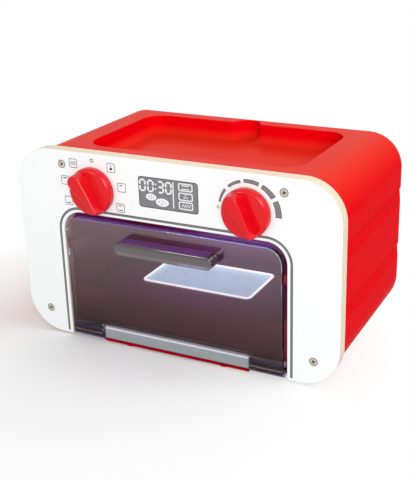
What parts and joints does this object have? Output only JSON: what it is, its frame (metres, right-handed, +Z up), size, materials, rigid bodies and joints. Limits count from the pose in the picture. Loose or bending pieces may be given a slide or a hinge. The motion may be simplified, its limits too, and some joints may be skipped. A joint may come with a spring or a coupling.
{
  "type": "toy oven",
  "caption": "Toy countertop oven: plywood front board on a red moulded housing, drop-down tinted door, turning knobs, lit baking plate inside.",
  "frame": {"origin": "on the table under the middle of the oven's box", "axes": "+Z up from the feet, +X to the right as seen from the front, +Y into the oven"},
  "size_m": [0.335, 0.21, 0.195],
  "materials": {
    "painted_ply": "white satin paint on the face, bare ply edges",
    "red_plastic": "fine moulded satin",
    "red_knob": "polished",
    "tinted_clear": "clear smoky purple",
    "grey_plastic": "satin silver grey",
    "diffuser": "milky, lit from below",
    "lamp_violet": "clear violet lens",
    "led_clear": "clear epoxy",
    "steel": "plain",
    "brass": "bright plated",
    "circuit_board": "green solder mask",
    "black_plastic": "plain",
    "nylon": "natural",
    "rubber": "dark red soft rubber",
    "black_rubber": "plain",
    "felt": "pressed felt",
    "paper_cone": "treated paper",
    "cell_wrap": "plain wrap",
    "cable_grey": "plain PVC"
  },
  "bodies": {
    "body": {"front_board": "painted_ply", "board_screws": "brass", "housing": "red_plastic", "feet": "rubber", "hinge_bar": "grey_plastic", "hinge_rod": "steel", "hinge_washers": "black_rubber", "bar_screws": "steel", "mode_switch": "black_plastic", "timer_switch": "black_plastic", "knob_felts": "felt", "cavity_liner": "red_plastic", "liner_screws": "steel", "light_plate": "diffuser", "plate_board": "circuit_board", "plate_leds": "led_clear", "lamp_lens": "lamp_violet", "lamp_board": "circuit_board", "lamp_led": "led_clear", "control_board": "circuit_board", "board_spacers": "nylon", "spacer_screws": "steel", "control_parts": "black_plastic", "speaker_frame": "steel", "speaker_cone": "paper_cone", "speaker_magnet": "steel", "batteries": "cell_wrap", "contact_plates": "steel", "contact_springs": "steel", "battery_cover": "red_plastic", "cover_screw": "steel", "plate_cable": "cable_grey", "battery_cable": "cable_grey", "speaker_cable": "cable_grey", "lamp_cable": "cable_grey"},
    "door": {"door": "tinted_clear"},
    "mode_dial": {"mode_knob": "red_knob", "mode_shaft": "steel"},
    "timer_dial": {"timer_knob": "red_knob", "timer_shaft": "steel"}
  },
  "joints": [
    {"name": "door_hinge", "type": "hinge", "parent": "body", "child": "door", "pos_m": [0, -0.08, 0.009], "axis": [1, 0, 0], "range_deg": [0, 80]},
    {"name": "mode_turn", "type": "hinge", "parent": "body", "child": "mode_dial", "pos_m": [-0.08, -0.085, 0.1595], "axis": [0, 1, 0], "range_deg": [-75, 150]},
    {"name": "timer_turn", "type": "hinge", "parent": "body", "child": "timer_dial", "pos_m": [0.08, -0.085, 0.1595], "axis": [0, 1, 0], "range_deg": [-58, 122]}
  ]
}
